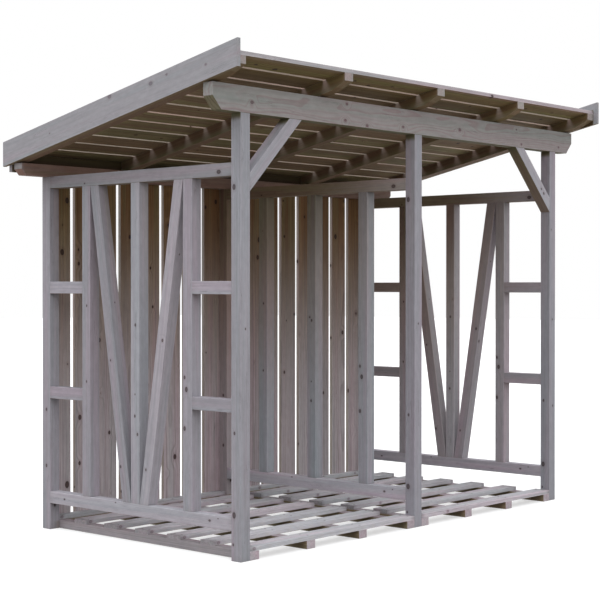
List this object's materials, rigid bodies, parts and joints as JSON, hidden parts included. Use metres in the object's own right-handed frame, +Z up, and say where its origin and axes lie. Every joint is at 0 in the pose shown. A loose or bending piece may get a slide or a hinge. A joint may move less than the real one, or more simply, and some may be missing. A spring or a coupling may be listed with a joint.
{
  "type": "log store",
  "caption": "Open-fronted timber log store with side-by-side log bays, a slatted single-pitch roof, slatted floors and slatted back walls.",
  "frame": {"origin": "on the ground, under the centre of the whole store's box", "axes": "+X to the right along the open front, +Y from the open front to the back wall, +Z up"},
  "size_m": [2.246, 1.231, 1.7217],
  "materials": {
    "frame_timber": "weathered planed softwood, unfinished",
    "roof_timber": "weathered planed softwood, unfinished",
    "roof_boards": "weathered planed softwood, unfinished",
    "roof_trim": "weathered planed softwood, unfinished",
    "wall_boards": "sheltered planed softwood, unfinished",
    "floor_timber": "weathered planed softwood, unfinished",
    "screws": "dulled"
  },
  "bodies": {
    "root": {"front_beam": "roof_timber", "left_back_boards": "wall_boards", "left_bottom_rail": "frame_timber", "left_corner_brace": "frame_timber", "left_floor_bearers": "floor_timber", "left_floor_noggings": "floor_timber", "left_floor_slats": "floor_timber", "left_front_post": "frame_timber", "left_front_v_brace": "frame_timber", "left_rear_post": "frame_timber", "left_rear_v_brace": "frame_timber", "left_rungs": "frame_timber", "left_studs": "frame_timber", "left_top_rail": "frame_timber", "left_verge_board": "roof_trim", "middle_bottom_rail": "frame_timber", "middle_front_post": "frame_timber", "middle_rear_post": "frame_timber", "middle_studs": "frame_timber", "middle_top_rail": "frame_timber", "rafters": "roof_timber", "rear_beam": "roof_timber", "rear_fascia": "roof_trim", "right_back_boards": "wall_boards", "right_bottom_rail": "frame_timber", "right_corner_brace": "frame_timber", "right_floor_bearers": "floor_timber", "right_floor_noggings": "floor_timber", "right_floor_slats": "floor_timber", "right_front_post": "frame_timber", "right_front_v_brace": "frame_timber", "right_rear_post": "frame_timber", "right_rear_v_brace": "frame_timber", "right_rungs": "frame_timber", "right_studs": "frame_timber", "right_top_rail": "frame_timber", "right_verge_board": "roof_trim", "roof_boards": "roof_boards"}
  },
  "joints": []
}
